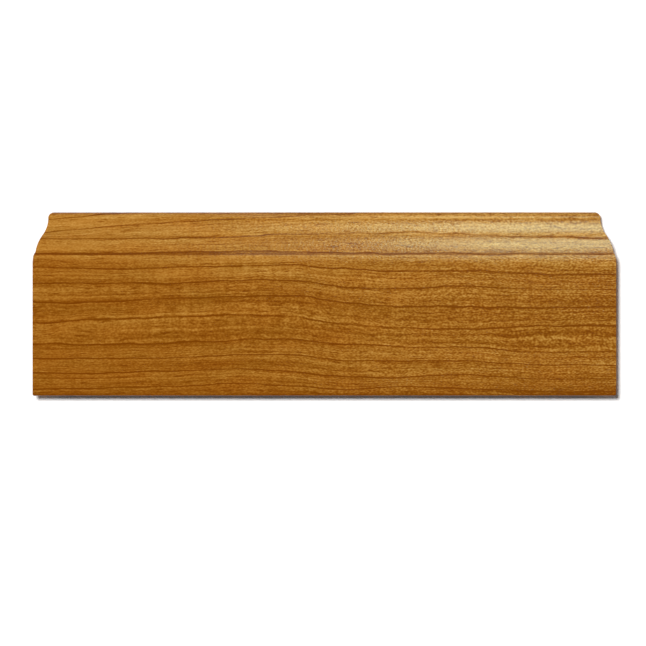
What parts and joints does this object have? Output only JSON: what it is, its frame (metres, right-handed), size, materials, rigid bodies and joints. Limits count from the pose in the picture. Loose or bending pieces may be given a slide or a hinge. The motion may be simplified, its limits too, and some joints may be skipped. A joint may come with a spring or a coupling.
{
  "type": "skirting board",
  "caption": "Short length of moulded hardwood skirting board: flat face, ogee top edge, and both ends sawn to outside mitres.",
  "frame": {"origin": "middle of the back face, which the board lies on", "axes": "+X along the length, +Y up the height towards the moulded top edge, +Z out of the show face"},
  "size_m": [0.302, 0.095, 0.015],
  "materials": {
    "cherry": "satin lacquer"
  },
  "bodies": {
    "root": {"skirting_board": "cherry"}
  },
  "joints": []
}
